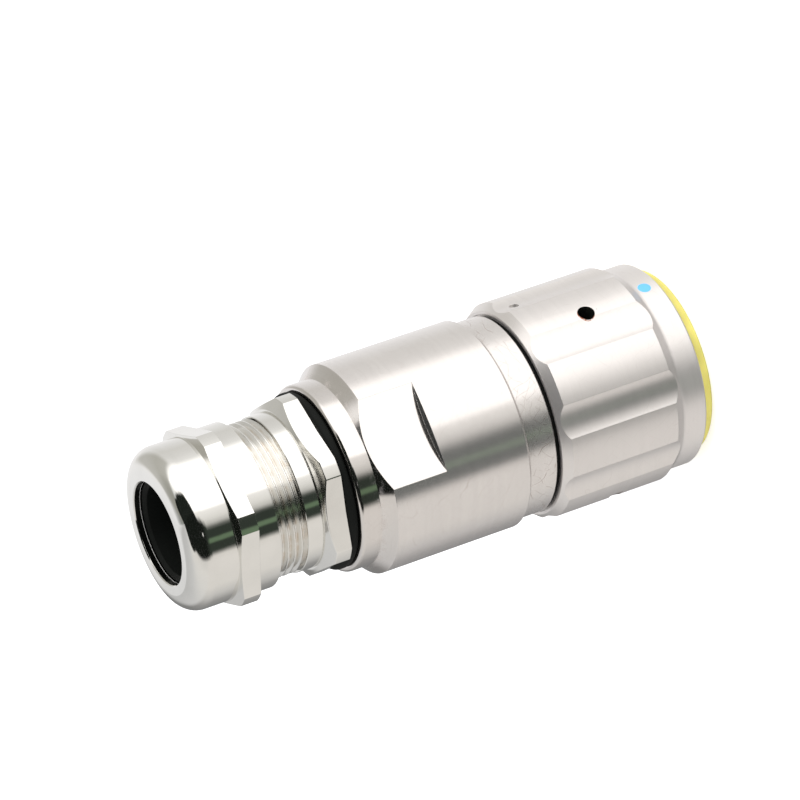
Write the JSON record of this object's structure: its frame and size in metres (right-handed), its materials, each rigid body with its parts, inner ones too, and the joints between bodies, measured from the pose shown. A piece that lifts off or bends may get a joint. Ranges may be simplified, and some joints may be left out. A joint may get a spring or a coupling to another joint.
{
  "type": "circular bayonet power plug",
  "caption": "Straight metal cable plug with a fluted bayonet coupling ring, a smooth rear housing with wrench flats and a metal cable gland for a round cable",
  "frame": {"origin": "on the plug's axis, in the plane of its front face, which it stands on", "axes": "+Z runs along the plug's axis from the mating face to the cable's mouth; the main key, the coloured dot and the first sight hole lie towards +X -Y"},
  "size_m": [0.0459, 0.046, 0.116],
  "materials": {
    "satin_metal": "satin nickel plating over turned brass",
    "yellow_plastic": "smooth moulded plastic",
    "pin_steel": "bare stainless steel",
    "spring_steel": "bare spring steel",
    "bronze": "bare turned copper alloy",
    "black_rubber": "smooth rubber",
    "satin_collar": "fine turned nickel plating",
    "satin_housing": "satin nickel plating over turned brass",
    "gasket_rubber": "smooth rubber",
    "polished_nickel": "polished nickel plating over brass",
    "cage_plastic": "moulded polyamide",
    "seal_rubber": "smooth rubber",
    "polished_nut": "polished nickel plating over brass",
    "insulator_plastic": "moulded thermoset",
    "retainer_metal": "turned aluminium",
    "contact_silver": "silver plating over brass",
    "contact_gold": "gold plating over brass"
  },
  "bodies": {
    "plug": {"thrust_washer": "spring_steel", "plug_shell": "bronze", "interface_seal": "black_rubber", "dust_seal": "black_rubber", "shell_collar": "satin_collar", "housing_o_ring": "black_rubber", "rear_housing": "satin_housing", "gland_gasket": "gasket_rubber", "gland_body": "polished_nickel", "front_insulator": "insulator_plastic", "rear_insulator": "insulator_plastic", "insert_retainer": "retainer_metal", "power_contact_1": "contact_silver", "power_contact_2": "contact_silver", "power_contact_3": "contact_silver", "earth_contact": "contact_silver", "signal_contact_1": "contact_gold", "signal_contact_2": "contact_gold", "signal_contact_3": "contact_gold", "signal_contact_4": "contact_gold"},
    "ring": {"coupling_ring": "satin_metal", "entry_ring": "yellow_plastic", "stop_pin": "pin_steel", "wave_spring": "spring_steel", "retaining_clip": "spring_steel"},
    "clamp": {"clamp_cage": "cage_plastic", "gland_seal": "seal_rubber"},
    "nut": {"dome_nut": "polished_nut"}
  },
  "joints": [
    {"name": "ring_turn", "type": "hinge", "parent": "plug", "child": "ring", "pos_m": [0, 0, 0.02], "axis": [0, 0, 1], "range_deg": [-95, 0]},
    {"name": "clamp_slide", "type": "slide", "parent": "plug", "child": "clamp", "axis": [0, 0, 1], "range_m": [-0.0045, 0.0015]},
    {"name": "nut_turn", "type": "hinge", "parent": "clamp", "child": "nut", "pos_m": [0, 0, 0.104], "axis": [0, 0, 1], "range_deg": [-1080, 360]}
  ],
  "couplings": [
    {"joint": "clamp_slide", "follows": "nut_turn", "m_per_rad": 0.00023873}
  ]
}
